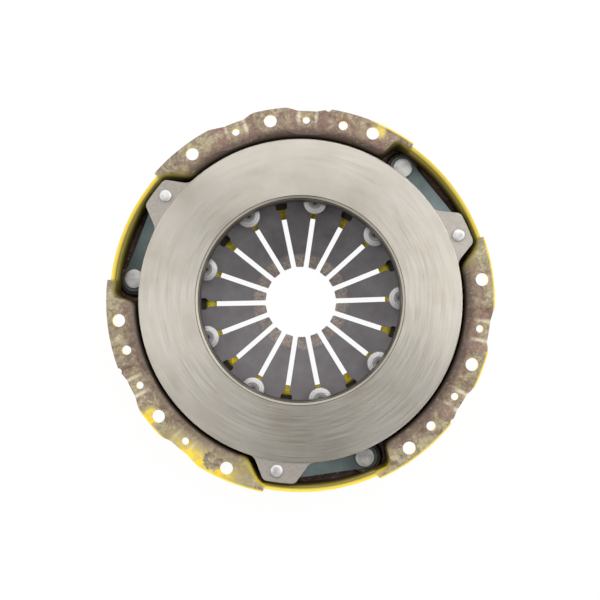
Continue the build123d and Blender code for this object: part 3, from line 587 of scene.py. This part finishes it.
plated, tree, shader = finish("zinc_plated_rivet_steel", Metallic=0.75)
where = add(tree, "TexCoord", out="Object")
haze = add(tree, "TexNoise", where, ("Scale", 1 / 0.004), ("Detail", 4.0))
tone = add(tree, "ValToRGB", haze, stops=[(0.3, "a3a1a0"), (0.5, "b6b4b3"), (0.7, "c8c6c5")])
rough = add(tree, "MapRange", haze, 0.3, 0.7, 0.40, 0.56)
relief = add(tree, "Bump", ("Strength", 0.35), ("Distance", 0.0002), ("Height", haze))
connect(tree, shader, Base_Color=tone, Roughness=rough, Normal=relief)

for number in range(PACK_COUNT):
    around_deg = 360 / PACK_COUNT * number
    points, faces = turned(seat_outline, polar(SEAT_R, SEAT_DEG + around_deg))
    mesh_piece(f"turned_strap_seat_rivet_{number + 1}", points, faces, plated, "cover",
               f"strap_seat_rivet_{number + 1}")
    points, faces = turned(lug_outline, polar(LUG_R, LUG_DEG + around_deg))
    mesh_piece(f"turned_lug_rivet_{number + 1}", points, faces, plated, "pressure_plate",
               f"lug_rivet_{number + 1}")


# Stage: a pale floor that the cover's lip stands on, soft lamps from the top and both sides of the
# photograph, and a camera nearly on the axis, 720 mm above the mounting face.
# The camera's place is in millimetres, and the floor and the lamps are in metres.
PHOTO_TURN_DEG = -6.4
CAMERA_RIGHT = 11.6
CAMERA_BELOW = 26.7
CAMERA_UP = 720
FLOOR_Z = -0.0376
FLOOR_HALF = 3
right = Vector(toward(PHOTO_TURN_DEG))
above = Vector(toward(PHOTO_TURN_DEG + 90))

floor_mesh = bpy.data.meshes.new("floor")
corners = [(FLOOR_HALF * across, FLOOR_HALF * along, FLOOR_Z)
           for across, along in ((-1, -1), (1, -1), (1, 1), (-1, 1))]
floor_mesh.from_pydata(corners, [], [(0, 1, 2, 3)])
floor = bpy.data.objects.new("floor", floor_mesh)
bpy.context.collection.objects.link(floor)

# White paper. It glows only as the camera sees it, straight or through something clear, so that it is
# evenly white without lighting the part.
paper, tree, shader = finish("white_paper", Base_Color=linear("e6e6e6"), Roughness=0.9)
seen = add(tree, "LightPath", out="Is Camera Ray")
through = add(tree, "LightPath", out="Is Transmission Ray")
direct = add(tree, "Math", seen, through, operation="MAXIMUM")
share = add(tree, "Math", direct, 0.96, operation="MULTIPLY")
glow = add(tree, "Emission", (1.0, 1.0, 1.0, 1.0), 1.0)
both = add(tree, "MixShader", share, shader.outputs["BSDF"], glow)
connect(tree, tree.nodes["Material Output"], Surface=both)
floor_mesh.materials.append(paper)

world = bpy.data.worlds.new("studio")
bpy.context.scene.world = world
world.use_nodes = True
tree = world.node_tree
sky = tree.nodes["Background"]
sky.inputs["Color"].default_value = (1.0, 1.0, 1.0, 1.0)

# The light is brightest beyond both sides and the top of the photograph, and dim below it.
look = add(tree, "TexCoord", out="Generated")
tilt = add(tree, "VectorMath", look, tuple(above), operation="DOT_PRODUCT")
by_top = add(tree, "MapRange", tilt, 0.14, 0.48, 0.05, 1.00)
side = add(tree, "VectorMath", look, tuple(right), operation="DOT_PRODUCT")
side = add(tree, "Math", side, operation="ABSOLUTE")
by_side = add(tree, "MapRange", side, 0.02, 0.36, 0.05, 1.12)
level = add(tree, "Math", by_side, by_top, operation="MAXIMUM")
connect(tree, sky, Strength=level)


def lamp(name, place, size, power):
    """Soft square lamp that faces the middle of the part; place is along right, above and Z, in metres."""
    light = bpy.data.lights.new(name, "AREA")
    light.size = size
    light.energy = power
    at = bpy.data.objects.new(name, light)
    at.location = right * place[0] + above * place[1] + Vector((0, 0, place[2]))
    at.rotation_euler = (-at.location).to_track_quat("-Z", "Y").to_euler()
    bpy.context.collection.objects.link(at)


lamp("top_softbox", (-0.02, 0.75, 0.75), 0.9, 5.4)
lamp("left_softbox", (-0.8, 0.1, 0.6), 0.9, 3.2)
lamp("right_softbox", (0.78, 0.28, 0.62), 1.0, 7.5)

camera_data = bpy.data.cameras.new("camera")
camera_data.sensor_width = 36.0
camera_data.lens = 61.8
camera = bpy.data.objects.new("camera", camera_data)
camera.location = (right * CAMERA_RIGHT - above * CAMERA_BELOW + Vector((0, 0, CAMERA_UP))) * MM
back_axis = camera.location.normalized()
side_axis = above.cross(back_axis).normalized()
turn_to = Matrix((side_axis, back_axis.cross(side_axis), back_axis)).transposed()
camera.rotation_euler = turn_to.to_euler()
bpy.context.collection.objects.link(camera)
bpy.context.scene.camera = camera
bpy.context.scene.view_settings.view_transform = "Standard"
